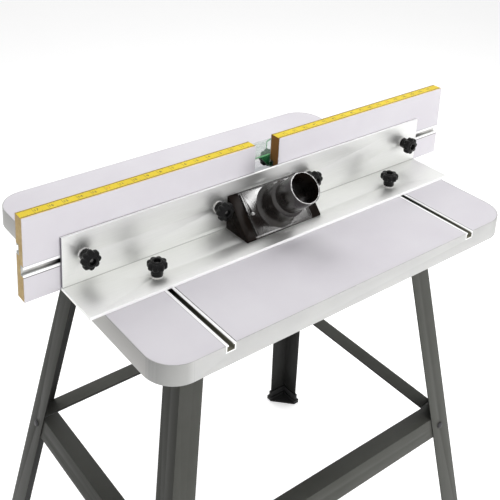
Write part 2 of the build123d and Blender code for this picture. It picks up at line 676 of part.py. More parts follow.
# Each clamp plane lies where a washer sits, +z outward along its T-bolt.
board_clamps = [Plane(origin=(x, BRACKET_Y, BOLT_Z), x_dir=(1, 0, 0), z_dir=(0, 1, 0)) for x in BOARD_BOLT_X]
fence_clamps = [Plane.XY.move(Location((s * FENCE_KNOB_X, FENCE_BOLT_Y, BRACKET_Z))) for s in (1, -1)]
KNOB_SEAT = WASHER_THICKNESS + SCREW_GAP
BOLT_REACH = TRACK_LIP + KNOB_SEAT + KNOB_HEIGHT - BOLT_SHORT_OF_KNOB
HEAD_DROP = SLIDE_GAP + TRACK_LIP + SCREW_GAP  # from the clamped sheet's inner face to a T-bolt's head

with BuildPart() as clamp_bolts:
    for plane in board_clamps + fence_clamps:
        t_bolt(plane.offset(-BRACKET_THICKNESS - HEAD_DROP), BRACKET_THICKNESS + BOLT_REACH)
save(clamp_bolts, "clamp_bolts")

with BuildPart() as clamp_washers:
    for plane in board_clamps + fence_clamps:
        washer(plane)
save(clamp_washers, "clamp_washers")

KNOB_NAMES = [f"board_knob_{number}" for number in (1, 2, 3, 4)] + ["fence_knob_right", "fence_knob_left"]
for name, plane in zip(KNOB_NAMES, board_clamps + fence_clamps):
    with BuildPart() as clamp_knob:
        knob(plane.offset(KNOB_SEAT))
    save(clamp_knob, name)

# ---- dust hood and pipe -------------------------------------------------------------------
SLOPE = Vector(0, HOOD_HEIGHT - HOOD_LIP, HOOD_DEPTH - HOOD_LIP).normalized()
INNER_CORNER = Vector(BRACKET_X, BRACKET_Y, BRACKET_Z)
SLOPE_MIDDLE = INNER_CORNER + Vector(0, HOOD_DEPTH + HOOD_LIP, HOOD_HEIGHT + HOOD_LIP) / 2
SLOPE_PLANE = Plane(origin=SLOPE_MIDDLE, x_dir=(1, 0, 0), z_dir=SLOPE)
PIPE_SECTION = Plane(origin=SLOPE_MIDDLE, x_dir=(1, 0, 0), z_dir=Vector(1, 0, 0).cross(SLOPE))


def hood_section(shrink):
    """Draws the hood's outline in the YZ plane, its sloped and outer sides moved in by shrink."""
    y, z, lip = HOOD_DEPTH - 1.4 * shrink, HOOD_HEIGHT - 1.6 * shrink, HOOD_LIP
    Polygon(
        (BRACKET_Y, BRACKET_Z), (BRACKET_Y + y, BRACKET_Z), (BRACKET_Y + y, BRACKET_Z + lip),
        (BRACKET_Y + lip, BRACKET_Z + z), (BRACKET_Y, BRACKET_Z + z),
        align=None,
    )


with BuildPart() as dust_hood:
    with BuildSketch(Plane.YZ.offset(BRACKET_X - HOOD_LENGTH / 2)):
        hood_section(0)
    extrude(amount=HOOD_LENGTH)
    with BuildSketch(Plane.YZ.offset(BRACKET_X - HOOD_LENGTH / 2 + WALL)):
        hood_section(WALL)
    extrude(amount=HOOD_LENGTH - 2 * WALL, mode=Mode.SUBTRACT)
    with BuildSketch(SLOPE_PLANE):
        Circle(PIPE_RADIUS - WALL)
        with Locations((PIPE_SCREW_X, 0), (-PIPE_SCREW_X, 0)):
            Circle(SCREW_RADIUS + SCREW_GAP)
    extrude(amount=-HOOD_CUT, mode=Mode.SUBTRACT)
    with BuildSketch(Plane.XZ.offset(-BRACKET_Y)):
        with Locations(*HOOD_SCREWS):
            Rectangle(1.7 * HOOD_BOSS, 1.3 * HOOD_BOSS)
    extrude(amount=-HOOD_BOSS)
    with BuildSketch(Plane.XZ.offset(-BRACKET_Y)):
        with Locations(*HOOD_SCREWS):
            Circle(SCREW_RADIUS + SCREW_GAP)
    extrude(amount=-HOOD_BOSS - 1, mode=Mode.SUBTRACT)
save(dust_hood, "dust_hood")

with BuildPart() as hood_screws:
    for x, z in HOOD_SCREWS:
        screw(Plane(origin=(x, HOOD_SCREW_FACE, z), x_dir=(1, 0, 0), z_dir=(0, -1, 0)))
save(hood_screws, "hood_screws")

with BuildPart() as dust_pipe:
    with BuildSketch(SLOPE_PLANE):
        RectangleRounded(*PIPE_FLANGE, 2)
    extrude(amount=WALL)
    with BuildSketch(SLOPE_PLANE.offset(WALL)):
        with Locations(*[(s * (PIPE_FLANGE[0] / 2 - x), 0) for s in (1, -1) for x in RIDGE_INSETS]):
            Rectangle(RIDGE_WIDTH, PIPE_FLANGE[1])
    extrude(amount=RIDGE_HEIGHT)
    with BuildSketch(PIPE_SECTION):
        with BuildLine():
            Polyline((0, PIPE_LENGTH), (0, 0), (PIPE_FLARE_RADIUS, 0), (PIPE_FLARE_RADIUS, WALL))
            ThreePointArc((PIPE_FLARE_RADIUS, WALL), PIPE_FLARE_MIDDLE, (PIPE_BASE_RADIUS, PIPE_FLARE_HEIGHT))
            Polyline(
                (PIPE_BASE_RADIUS, PIPE_FLARE_HEIGHT), (PIPE_BASE_RADIUS, PIPE_STEP - 6),
                (PIPE_BASE_RADIUS - 2, PIPE_STEP - 3), (PIPE_RADIUS - PIPE_NECK, PIPE_STEP - 1),
                (PIPE_RADIUS - PIPE_NECK, PIPE_STEP + 2), (PIPE_RADIUS, PIPE_STEP + 3.5),
                (PIPE_RADIUS, PIPE_LENGTH), (0, PIPE_LENGTH),
            )
        make_face()
    revolve(axis=Axis(SLOPE_MIDDLE, SLOPE))
    with BuildSketch(SLOPE_PLANE):
        Circle(PIPE_RADIUS - WALL)
    extrude(amount=PIPE_LENGTH, mode=Mode.SUBTRACT)
    with BuildSketch(SLOPE_PLANE):
        with Locations((PIPE_SCREW_X, 0), (-PIPE_SCREW_X, 0)):
            Circle(SCREW_RADIUS + SCREW_GAP)
    extrude(amount=WALL, mode=Mode.SUBTRACT)
save(dust_pipe, "dust_pipe")

with BuildPart() as pipe_screws:
    with BuildSketch(SLOPE_PLANE.offset(WALL)):
        with Locations((PIPE_SCREW_X, 0), (-PIPE_SCREW_X, 0)):
            Circle(PIPE_SCREW_HEAD_RADIUS)
    extrude(amount=PIPE_SCREW_HEAD, taper=25)
    with BuildSketch(SLOPE_PLANE.offset(WALL)):
        with Locations((PIPE_SCREW_X, 0), (-PIPE_SCREW_X, 0)):
            Circle(SCREW_RADIUS)
    extrude(amount=-3.5 * WALL)
save(pipe_screws, "pipe_screws")

# ---- bit guard ----------------------------------------------------------------------------
GUARD_Y = FENCE_FRONT - SLIDE_GAP  # rear face of the guard's flange
GUARD_BOLT_Z = TABLE_TOP + FRONT_TRACK_Z
SHELF_TOP = TABLE_TOP + GUARD_TOP
SHELF_BOTTOM = SHELF_TOP - GUARD_SHEET
APRON_Y = GUARD_Y - GUARD_DEPTH
APRON_BOTTOM = TABLE_TOP + GUARD_APRON_BOTTOM
FLANGE_BOTTOM = TABLE_TOP + GUARD_FLANGE_BOTTOM
INSIDE = GUARD_SHEET * 0.4  # how much shorter the bend is along the sheet's inner face

# One bent sheet: a flange bolted to the board, a shelf over the bit and an apron in front of it.
with BuildPart() as bit_guard:
    with BuildSketch(Plane.YZ.offset(GUARD_ENDS[0])):
        Polygon(
            (GUARD_Y, SHELF_TOP), (APRON_Y + GUARD_BEND, SHELF_TOP), (APRON_Y, SHELF_TOP - GUARD_BEND),
            (APRON_Y, APRON_BOTTOM), (APRON_Y + GUARD_SHEET, APRON_BOTTOM),
            (APRON_Y + GUARD_SHEET, SHELF_TOP - GUARD_BEND - INSIDE),
            (APRON_Y + GUARD_BEND + INSIDE, SHELF_BOTTOM), (GUARD_Y, SHELF_BOTTOM),
            align=None,
        )
    extrude(amount=GUARD_ENDS[1] - GUARD_ENDS[0])
    with BuildSketch(Plane.XZ.offset(-APRON_Y - GUARD_BEND - INSIDE)):
        with Locations((GUARD_ENDS[0] + GUARD_NOTCH / 2, SHELF_BOTTOM)):
            Rectangle(GUARD_NOTCH, GUARD_TOP)
    extrude(amount=2 * GUARD_BEND, mode=Mode.SUBTRACT)
    with BuildSketch(Plane.XZ.offset(-GUARD_Y)):
        Polygon(
            (GUARD_ENDS[0], SHELF_BOTTOM), (GUARD_ENDS[0], FLANGE_BOTTOM), (-36, FLANGE_BOTTOM),
            (-13, SHELF_BOTTOM - 9), (-4, SHELF_BOTTOM),
            align=None,
        )
        with Locations(*[(x, GUARD_BOLT_Z) for x in GUARD_BOLT_X]):
            Circle(HOLE_RADIUS, mode=Mode.SUBTRACT)
    extrude(amount=GUARD_SHEET)
save(bit_guard, "bit_guard")

guard_face = GUARD_Y - GUARD_SHEET
guard_clamps = [
    Plane(origin=(x, guard_face, GUARD_BOLT_Z), x_dir=(1, 0, 0), z_dir=(0, -1, 0)) for x in GUARD_BOLT_X
]

with BuildPart() as guard_bolts:
    for plane in guard_clamps:
        t_bolt(plane.offset(-GUARD_SHEET - HEAD_DROP), GUARD_SHEET + BOLT_REACH)
save(guard_bolts, "guard_bolts")

with BuildPart() as guard_washers:
    for plane in guard_clamps:
        washer(plane)
save(guard_washers, "guard_washers")

for name, plane in zip(["guard_knob_inner", "guard_knob_outer"], guard_clamps):
    with BuildPart() as guard_knob:
        knob(plane.offset(KNOB_SEAT))
    save(guard_knob, name)
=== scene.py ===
"""Looks of the router table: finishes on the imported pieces, moulded knobs, printed scales, light and camera.

Metres, in the frame's own axes: the operator stands at -Y and the camera looks from behind.
"""

import json
import math

import bmesh
import bpy
from mathutils import Matrix, Quaternion, Vector


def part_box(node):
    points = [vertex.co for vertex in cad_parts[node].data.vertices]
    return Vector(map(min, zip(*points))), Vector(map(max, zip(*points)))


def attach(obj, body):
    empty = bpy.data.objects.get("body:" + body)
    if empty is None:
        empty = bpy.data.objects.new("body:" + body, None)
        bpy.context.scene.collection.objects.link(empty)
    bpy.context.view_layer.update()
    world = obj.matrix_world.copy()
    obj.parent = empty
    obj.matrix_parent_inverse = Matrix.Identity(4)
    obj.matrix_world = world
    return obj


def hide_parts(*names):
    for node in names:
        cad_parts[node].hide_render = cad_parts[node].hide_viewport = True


MM = 0.001
INCH = 25.4 * MM

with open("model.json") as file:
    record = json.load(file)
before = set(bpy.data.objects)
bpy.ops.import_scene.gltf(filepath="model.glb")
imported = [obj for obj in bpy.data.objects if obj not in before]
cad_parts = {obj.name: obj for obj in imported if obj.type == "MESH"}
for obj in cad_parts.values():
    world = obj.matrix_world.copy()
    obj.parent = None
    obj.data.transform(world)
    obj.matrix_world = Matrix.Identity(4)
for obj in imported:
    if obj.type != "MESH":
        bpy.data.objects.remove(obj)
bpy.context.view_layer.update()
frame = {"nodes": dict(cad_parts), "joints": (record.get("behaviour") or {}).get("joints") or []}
nodes = frame["nodes"]
TABLE_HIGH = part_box("edge_band")[1]
TABLE_TOP = TABLE_HIGH.z
SIDES = {"right": 1, "left": -1}  # which way each side of the fence lies along X

CORNER_RADIUS = 54 * MM  # of the table top's corners
BEND_SHADE_BLEND = 12 * MM  # from a corner's first bend to its full painted shade
JOINT_WIDTH = 1.3 * MM  # the dark joint drawn beside a track
TRACK_LIP = (0.8 * MM, 2.2 * MM)  # depth over which a track's bright lips give way to the painted shade of its inside
TABLE_TRACK_FADE = (0.12, 0.29)  # along Y, from the black painted shade in a table track to the grey painted shade at its open end
BOARD_TRACK_FADE = (0.42, 0.45)  # the same along X, for a fence board's track
ANGLE_THICKNESS = 5.5 * MM
CORNER_SHADE_LINE = (5.0 * MM, 6.6 * MM)  # the painted shade line round the angle's inner corner, from its outer faces
SAWN_HIGHLIGHT_DEPTH = (0.3 * MM, 0.1 * MM)  # the angle's sawn edges, painted white as a painted highlight, start between these depths
FRONT_SHADOW_DEPTH = (0.4 * MM, 1.2 * MM)  # its front skin, painted dark as the shadow in the gap against the board, ends between these depths
GAP_SHADE_REACH = (1 * MM, 6 * MM)  # how far a board's painted shade reaches in from the gap
HOOD_MARGIN = 20.5 * MM  # dull strip at each end of the dust hood
GUARD_SHEET = 3.0 * MM  # thickness of the guard's clear sheet


# ---- finishes -----------------------------------------------------------------------------
NOISE_RANGE = (0.3, 0.7)


class Finish:
    """A node material being built: a Principled surface with nodes added in front of it."""

    def __init__(self, name, **surface):
        self.material = bpy.data.materials.new(name)
        self.material.use_nodes = True
        self.tree = self.material.node_tree
        self.surface = self.tree.nodes["Principled BSDF"]
        self.place = self.add("TexCoord").outputs["Object"]
        self.normal = None
        self.set(**surface)

    def add(self, kind, inputs=None, **settings):
        """Adds a shader node, sets its settings, and feeds its inputs with values or sockets."""
        node = self.tree.nodes.new("ShaderNode" + kind)
        for key, value in settings.items():
            setattr(node, key, value)
        for key, value in (inputs or {}).items():
            self.feed(node.inputs[key], value)
        return node

    def feed(self, socket, value):
        """Links a socket, or sets a plain value."""
        if isinstance(value, bpy.types.NodeSocket):
            self.tree.links.new(value, socket)
        else:
            socket.default_value = value

    def set(self, **surface):
        """Sets inputs of the Principled surface, written as base_color=..., coat_weight=..."""
        for key, value in surface.items():
            title = key.replace("_", " ").title().replace("Ior", "IOR")
            if isinstance(value, tuple) and len(value) == 3:
                value = (*value, 1.0)
            self.feed(self.surface.inputs[title], value)

    def noise(self, scale, stretch=(1, 1, 1), detail=3.0, roughness=0.55):
        """Noise over the piece; stretch below one draws it out along that axis."""
        place = self.add("Mapping", {"Vector": self.place, "Scale": stretch}).outputs[0]
        inputs = {"Vector": place, "Scale": scale, "Detail": detail, "Roughness": roughness}
        return self.add("TexNoise", inputs).outputs["Fac"]

    def spread(self, value, low, high, to_low=0.0, to_high=1.0):
        """Maps a value from low..high onto to_low..to_high."""
        inputs = {"Value": value, "From Min": low, "From Max": high, "To Min": to_low, "To Max": to_high}
        return self.add("MapRange", inputs).outputs[0]

    def even(self, noise, to_low=0.0, to_high=1.0):
        """Maps the usual range of a noise onto to_low..to_high."""
        return self.spread(noise, *NOISE_RANGE, to_low, to_high)

    def calc(self, kind, first, second=0.0):
        """One arithmetic step."""
        node = self.add("Math", operation=kind)
        self.feed(node.inputs[0], first)
        self.feed(node.inputs[1], second)
        return node.outputs[0]

    def times(self, first, second):
        """The product of two values, which for masks is where both hold."""
        return self.calc("MULTIPLY", first, second)

    def either(self, first, second):
        """The larger of two values, which for masks is where either holds."""
        return self.calc("MAXIMUM", first, second)

    def inverse(self, value):
        """One less the value."""
        return self.calc("SUBTRACT", 1.0, value)

    def blend(self, share, first, second):
        """Mixes two colours."""
        node = self.add("Mix", data_type="RGBA")
        self.feed(node.inputs["Factor"], share)
        for socket, value in ((node.inputs[6], first), (node.inputs[7], second)):
            self.feed(socket, (*value, 1.0) if isinstance(value, tuple) else value)
        return node.outputs[2]

    def band(self, value, low, high, soft=0.1 * MM):
        """One where a value lies between low and high, zero elsewhere, with soft edges."""
        rise = self.spread(value, low - soft, low + soft)
        return self.times(rise, self.spread(value, high - soft, high + soft, 1.0, 0.0))

    def bump(self, height, depth, strength=1.0):
        """Adds relief of a given depth in metres on top of any before it."""
        inputs = {"Height": height, "Distance": depth, "Strength": strength}
        if self.normal is not None:
            inputs["Normal"] = self.normal
        self.normal = self.add("Bump", inputs).outputs[0]
        self.feed(self.surface.inputs["Normal"], self.normal)

    def axis(self, letter):
        """One coordinate of the place on the piece."""
        return self.add("SeparateXYZ", {"Vector": self.place}).outputs["XYZ".index(letter)]

    def facing(self, letter):
        """How squarely a face looks along an axis, either way, from 0 to 1."""
        normal = self.add("NewGeometry").outputs["True Normal"]
        along = self.add("SeparateXYZ", {"Vector": normal}).outputs["XYZ".index(letter)]
        return self.calc("ABSOLUTE", along)


def laminate():
    """White melamine with a cool cast: a fine matt grain, handling marks, a dark joint beside each track."""
    finish = Finish("laminate", specular_ior_level=0.35)
    cloud = finish.noise(7.0, detail=4.0)
    grain = finish.noise(900.0, detail=2.0)
    tone = finish.blend(finish.spread(cloud, 0.35, 0.65), (0.615, 0.592, 0.630), (0.650, 0.632, 0.665))
    speckle = finish.even(grain, 0.96, 1.0)
    tone = finish.blend(speckle, (0.52, 0.50, 0.54), tone)
    joint = finish.either(table_track_joint(finish), board_track_joint(finish))
    finish.set(base_color=finish.blend(joint, tone, (0.03, 0.03, 0.03)))
    smudge = finish.noise(18.0, stretch=(1, 2.5, 1), detail=5.0)
    finish.set(roughness=finish.even(smudge, 0.42, 0.56))
    finish.bump(grain, 0.04 * MM, 0.5)
    return finish.material


def beside(finish, place, low, high):
    """Picks a narrow strip just outside two edges: dark at the low one, faint at the high one."""
    dark = finish.band(place, low - JOINT_WIDTH, low)
    faint = finish.times(finish.band(place, high, high + JOINT_WIDTH), 0.3)
    return finish.times(finish.either(dark, faint), 0.92)


def table_track_joint(finish):
    """Picks the fine joint between the top laminate and the two table tracks."""
    picked = 0.0
    for side in SIDES:
        low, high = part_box("table_track_" + side)
        picked = finish.either(picked, beside(finish, finish.axis("X"), low.x, high.x))
    table_only = finish.spread(finish.axis("Z"), TABLE_TOP + 2 * MM, TABLE_TOP + 3 * MM, 1.0, 0.0)
    behind = finish.spread(finish.axis("Y"), low.y - MM, low.y)
    return finish.times(picked, finish.times(table_only, behind))


def board_track_joint(finish):
    """Picks the fine joint between the boards' laminate and the tracks let into them."""
    picked = 0.0
    for name in ("rear", "front"):
        low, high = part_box(f"board_track_{name}_right")
        inside = finish.band(finish.axis("Y"), low.y - MM, high.y + MM)
        strip = beside(finish, finish.axis("Z"), low.z, high.z)
        picked = finish.either(picked, finish.times(strip, inside))
    return picked


def edge_banding():
    """Grey plastic edging: faint lines, a seam, painted light on short sides, painted shade at bends."""
    finish = Finish("edge_banding", specular_ior_level=0.4, roughness=0.38)
    line = finish.noise(260.0, stretch=(0.05, 0.05, 4.0), detail=3.0)
    cloud = finish.noise(14.0)
    tone = finish.blend(finish.even(cloud), (0.455, 0.455, 0.45), (0.49, 0.49, 0.48))
    bend_x = TABLE_HIGH.x - CORNER_RADIUS
    along = finish.calc("SUBTRACT", finish.calc("ABSOLUTE", finish.axis("X")), bend_x)
    seam = finish.band(along, -0.5 * MM, 0.5 * MM)
    # Painted light: the short sides, facing X, are painted paler.
    tone = finish.blend(finish.spread(finish.facing("X"), 0.97, 1.0), tone, (0.60, 0.59, 0.57))
    # Painted shade: the edging is painted darker round each bend.
    bend_shade = finish.spread(along, 0.0, BEND_SHADE_BLEND, 0.0, 0.55)
    turning = finish.spread(finish.facing("X"), 1.0, 0.85)
    tone = finish.blend(finish.times(bend_shade, turning), tone, (0.30, 0.30, 0.29))
    finish.set(base_color=finish.blend(finish.times(seam, 0.45), tone, (0.33, 0.33, 0.34)))
    finish.bump(line, 0.05 * MM, 0.5)
    finish.bump(finish.inverse(seam), 0.15 * MM, 0.6)
    return finish.material


def fibreboard(name, pale, dark, gap_shaded=False):
    """Sawn fibreboard: fine fibres, cloudy colour, small pits, and painted shade in dark brown beside the
    fence gap.
    """
    finish = Finish(name, roughness=0.85, specular_ior_level=0.2)
    fibre = finish.noise(520.0, stretch=(1, 1, 0.35), detail=6.0, roughness=0.7)
    cloud = finish.noise(40.0, detail=4.0)
    tone = finish.blend(finish.even(cloud), pale, dark)
    # Painted shade: a fence board darkens to brown towards its end in the fence gap, where the other board
    # shades it.
    if gap_shaded:
        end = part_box("board_core_right")[0].x
        away = finish.calc("ABSOLUTE", finish.axis("X"))
        near = finish.spread(away, *[end + reach for reach in GAP_SHADE_REACH], 0.92, 0.0)
        tone = finish.blend(near, tone, (0.22, 0.085, 0.012))
    finish.set(base_color=finish.blend(finish.spread(fibre, 0.35, 0.75, 0.0, 0.3), tone, (0.16, 0.08, 0.03)))
    finish.bump(fibre, 0.25 * MM, 0.7)
    return finish.material


def brushed(name, tone, along, roughness, details=None, metal=1.0):
    """Brushed metal: scratches drawn along an axis and an uneven sheen."""
    finish = Finish(name, metallic=metal)
    stretch = tuple(0.012 if letter == along else 1.0 for letter in "XYZ")
    scratch = finish.noise(1500.0, stretch=stretch, detail=4.0, roughness=0.65)
    haze = finish.noise(9.0, detail=3.0)
    dark = tuple(0.93 * c for c in tone)
    colour = finish.blend(finish.even(scratch), dark, tone)
    rough = finish.even(haze, roughness - 0.03, roughness + 0.03)
    if details:
        colour = details(finish, colour)
    rough = finish.calc("ADD", rough, finish.spread(scratch, 0, 1, -0.04, 0.04))
    finish.set(base_color=colour, roughness=rough)
    finish.bump(scratch, 0.015 * MM, 0.35)
    return finish.material


def angle_details(finish, colour):
    """The angle's painted light and shade: white sawn edges, a dark front, grey ends, a line in the inner
    corner.
    """
    low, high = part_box("fence_bracket")
    # Painted highlight: the sawn top and rear edges are painted white and not metallic.
    top = finish.spread(finish.axis("Z"), *[high.z - depth for depth in SAWN_HIGHLIGHT_DEPTH])
    rear = finish.spread(finish.axis("Y"), *[high.y - depth for depth in SAWN_HIGHLIGHT_DEPTH])
    sawn = finish.either(top, rear)
    finish.set(metallic=finish.spread(sawn, 0.0, 1.0, 0.9, 0.0))
    colour = finish.blend(sawn, colour, (1.0, 1.0, 1.0))
    # Painted shadow: the front skin is painted near black for the shadow in the gap against the board.
    front = finish.spread(finish.axis("Y"), *[low.y + depth for depth in FRONT_SHADOW_DEPTH], 0.9, 0.0)
    colour = finish.blend(front, colour, (0.06, 0.06, 0.07))
    # Painted shade on the end faces of the upright.
    ends = finish.times(finish.spread(finish.facing("X"), 0.6, 0.8), upright(finish, low))
    colour = finish.blend(ends, colour, (0.30, 0.29, 0.32))
    # Painted shade: a dark line round the inner corner.
    corner_y = finish.band(finish.axis("Y"), *[low.y + depth for depth in CORNER_SHADE_LINE])
    corner_z = finish.band(finish.axis("Z"), *[low.z + depth for depth in CORNER_SHADE_LINE])
    line = finish.times(corner_y, finish.times(corner_z, 0.35))
    return finish.blend(line, colour, (0.22, 0.22, 0.2))


def upright(finish, low):
    """Picks the upright leg of the fence angle."""
    foot = low.z + ANGLE_THICKNESS
    return finish.spread(finish.axis("Z"), foot, foot + 0.5 * MM)


def track_inside(finish, colour, depth, reach, middle, end):
    """Paints shade into the inside of a track: one painted shade at the middle, another at the open end."""
    finish.set(metallic=finish.spread(depth, 0.0, 1.0, 0.65, 0.0))
    return finish.blend(depth, colour, finish.blend(reach, middle, end))


def table_track_shade(finish, colour):
    """Painted shade inside a table track: black under the fence, olive grey at its open end; its end face
    stays bright.
    """
    depth = finish.spread(finish.axis("Z"), *[TABLE_TOP - d for d in reversed(TRACK_LIP)], 1.0, 0.0)
    depth = finish.times(depth, finish.spread(finish.facing("Y"), 0.6, 0.8, 1.0, 0.0))
    reach = finish.spread(finish.axis("Y"), *TABLE_TRACK_FADE)
    return track_inside(finish, colour, depth, reach, (0.003, 0.003, 0.003), (0.20, 0.195, 0.15))


def board_track_shade(finish, colour):
    """Painted shade inside a fence board's track: black beside the bracket, pale grey at its open end."""
    low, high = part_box("board_core_right")
    edge = finish.calc("MINIMUM", finish.calc("SUBTRACT", finish.axis("Y"), low.y),
                      finish.calc("SUBTRACT", high.y, finish.axis("Y")))
    depth = finish.spread(edge, *TRACK_LIP)
    reach = finish.spread(finish.calc("ABSOLUTE", finish.axis("X")), *BOARD_TRACK_FADE)
    return track_inside(finish, colour, depth, reach, (0.006, 0.006, 0.006), (0.62, 0.62, 0.60))


def inward(finish):
    """Picks the faces of the stand that look towards its middle, for the painted shade on them."""
    normal = finish.add("NewGeometry").outputs["True Normal"]
    level = finish.add("VectorMath", {0: finish.place, 1: (1.0, 1.0, 0.0)}, operation="MULTIPLY").outputs[0]
    along = finish.add("VectorMath", {0: normal, 1: level}, operation="DOT_PRODUCT").outputs["Value"]
    return finish.spread(along, -0.06, -0.02, 0.88, 0.0)


def powder_coat():
    """Dark grey powder coat: orange-peel relief and small chips, with painted shade on the stand's inner
    faces.
    """
    finish = Finish("powder_coat", specular_ior_level=0.12)
    peel = finish.noise(700.0, detail=2.0)
    cloud = finish.noise(11.0, detail=4.0)
    tone = finish.blend(finish.even(cloud), (0.058, 0.059, 0.052), (0.072, 0.073, 0.066))
    # Painted shade: the inner faces of the stand are painted near black.
    tone = finish.blend(inward(finish), tone, (0.009, 0.009, 0.009))
    chips = finish.spread(finish.noise(240.0, detail=6.0, roughness=0.75), 0.735, 0.76)
    finish.set(base_color=finish.blend(chips, tone, (0.13, 0.13, 0.125)))
    finish.set(roughness=finish.even(cloud, 0.40, 0.52))
    finish.bump(peel, 0.12 * MM, 0.5)
    return finish.material


def moulded(name, tone, dust, roughness, grain=800.0, relief=0.04, gloss=0.5, shine=None):
    """Moulded plastic or rubber: uneven roughness, fine relief and a trace of dust.

    The gloss is even, or varies over the piece by a mask that shine makes.
    """
    finish = Finish(name, specular_ior_level=gloss)
    cloud = finish.noise(45.0, detail=5.0)
    fine = finish.noise(grain, detail=3.0)
    finish.set(base_color=finish.blend(finish.spread(cloud, 0.45, 0.8, 0.0, 0.6), tone, dust))
    rough = finish.even(cloud, *roughness)
    finish.set(roughness=finish.calc("ADD", rough, finish.even(fine, -0.03, 0.03)))
    finish.bump(fine, relief * MM, 0.5)
    if shine:
        finish.set(specular_ior_level=finish.times(shine(finish), gloss))
    return finish.material


def hood_front(finish):
    """Picks the hood's glossy front and pipe, but not the dull margins at the hood's two ends."""
    low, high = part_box("dust_hood")
    middle = (low.x + high.x) / 2
    reach = finish.calc("ABSOLUTE", finish.calc("SUBTRACT", finish.axis("X"), middle))
    edge = (high.x - low.x) / 2 - HOOD_MARGIN
    return finish.spread(reach, edge - MM, edge, 1.0, 0.03)


def plated(name, tone, roughness):
    """Zinc-plated steel: a mottled passivated sheen with fine turning marks."""
    finish = Finish(name, metallic=1.0)
    mottle = finish.noise(160.0, detail=4.0)
    warm = tuple(c * k for c, k in zip(tone, (1.0, 0.97, 0.90)))
    finish.set(base_color=finish.blend(finish.even(mottle), tone, warm))
    finish.set(roughness=finish.even(mottle, roughness, roughness + 0.12))
    finish.bump(finish.noise(1400.0), 0.02 * MM, 0.4)
    return finish.material


def scale_yellow():
    """Yellow lacquered steel tape: slightly uneven colour, faint scuffs along its length."""
    finish = Finish("scale_yellow", coat_weight=0.08, coat_roughness=0.25, specular_ior_level=0.25)
    cloud = finish.noise(22.0, detail=3.0)
    scuff = finish.noise(420.0, stretch=(0.04, 1, 1), detail=4.0)
    tone = finish.blend(finish.even(cloud), (0.68, 0.50, 0.014), (0.76, 0.58, 0.025))
    finish.set(base_color=finish.blend(finish.spread(scuff, 0.6, 0.85, 0.0, 0.2), tone, (0.66, 0.55, 0.12)))
    finish.set(roughness=finish.even(scuff, 0.38, 0.50))
    finish.bump(scuff, 0.02 * MM, 0.5)
    return finish.material


def ink(name, tone, worn):
    """Printed ink, a little worn."""
    finish = Finish(name, roughness=0.5)
    wear = finish.spread(finish.noise(600.0, detail=4.0), 0.5, 0.8, 0.0, 0.5)
    finish.set(base_color=finish.blend(wear, tone, worn))
    finish.bump(finish.noise(1500.0), 0.01 * MM, 0.3)
    return finish.material


def clear_sheet():
    """Clear sheet with a green cast: see-through faces, a darker flange, and opaque green cut edges with a
    painted glow.
    """
    finish = Finish("clear_sheet", ior=1.49)
    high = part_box("bit_guard")[1]
    haze = finish.noise(60.0, detail=4.0)
    finish.set(roughness=finish.even(haze, 0.06, 0.16))
    finish.bump(finish.noise(300.0), 0.01 * MM, 0.3)
    level = finish.spread(finish.axis("Z"), high.z - GUARD_SHEET - 0.3 * MM, high.z - GUARD_SHEET)
    level_edge = finish.times(level, finish.spread(finish.facing("Z"), 0.6, 0.5))
    across = finish.either(finish.facing("Y"), finish.facing("Z"))
    edge = finish.either(level_edge, finish.spread(across, 0.6, 0.5))
    flange = finish.spread(finish.axis("Y"), high.y - GUARD_SHEET - 0.2 * MM, high.y - GUARD_SHEET)
    flange = finish.times(flange, finish.inverse(level))
    tone = finish.blend(flange, (0.42, 0.62, 0.48), (0.03, 0.22, 0.08))
    # Painted light: the cut edges are an opaque bright green, the sheet's own tint with a painted glow of the
    # light it carries.
    finish.set(base_color=finish.blend(edge, tone, (0.28, 0.72, 0.36)))
    body = finish.calc("ADD", finish.even(haze, 0.10, 0.16), finish.times(flange, 0.52))
    finish.set(alpha=finish.either(body, finish.times(edge, 0.92)))
    return finish.material


WHITE = laminate()
EDGING = edge_banding()
CORE = fibreboard("core_board", (0.50, 0.34, 0.17), (0.42, 0.27, 0.13))
BOARD_CORE = fibreboard("fence_board", (0.95, 0.73, 0.38), (0.82, 0.59, 0.29), gap_shaded=True)
ANGLE = brushed("brushed_angle", (0.92, 0.925, 0.905), "X", 0.46, angle_details, 0.9)
BOARD_TRACK = brushed("track_along_fence", (0.95, 0.95, 0.95), "X", 0.35, board_track_shade)
MITRE_TRACK = brushed("track_across_table", (0.90, 0.90, 0.90), "X", 0.32)
TABLE_TRACK = brushed("track_along_table", (0.97, 0.97, 0.97), "Y", 0.35, table_track_shade)
PLATE = brushed("router_plate", (0.45, 0.46, 0.48), "X", 0.40)
PAINT = powder_coat()
KNOB_BLACK = moulded("knob_black", (0.003, 0.003, 0.003), (0.008, 0.008, 0.008), (0.24, 0.34), gloss=0.18)
HOOD_BLACK = moulded(
    "hood_black", (0.006, 0.004, 0.003), (0.015, 0.01, 0.008), (0.24, 0.32), gloss=0.7, shine=hood_front
)
RING_BLACK = moulded("ring_black", (0.022, 0.022, 0.023), (0.05, 0.05, 0.05), (0.45, 0.60))
RUBBER = moulded("foot_rubber", (0.008, 0.008, 0.008), (0.02, 0.02, 0.02), (0.62, 0.80), 400.0, 0.12, 0.3)
ZINC = plated("zinc_plated", (0.80, 0.80, 0.82), 0.24)
BOLT_STEEL = plated("bolt_steel", (0.22, 0.22, 0.22), 0.40)
BLACK_STEEL = plated("black_steel", (0.06, 0.06, 0.065), 0.35)
YELLOW = scale_yellow()
BLACK_INK = ink("black_ink", (0.02, 0.02, 0.015), (0.12, 0.10, 0.03))
RED_INK = ink("red_ink", (0.62, 0.05, 0.02), (0.72, 0.35, 0.05))
CLEAR = clear_sheet()

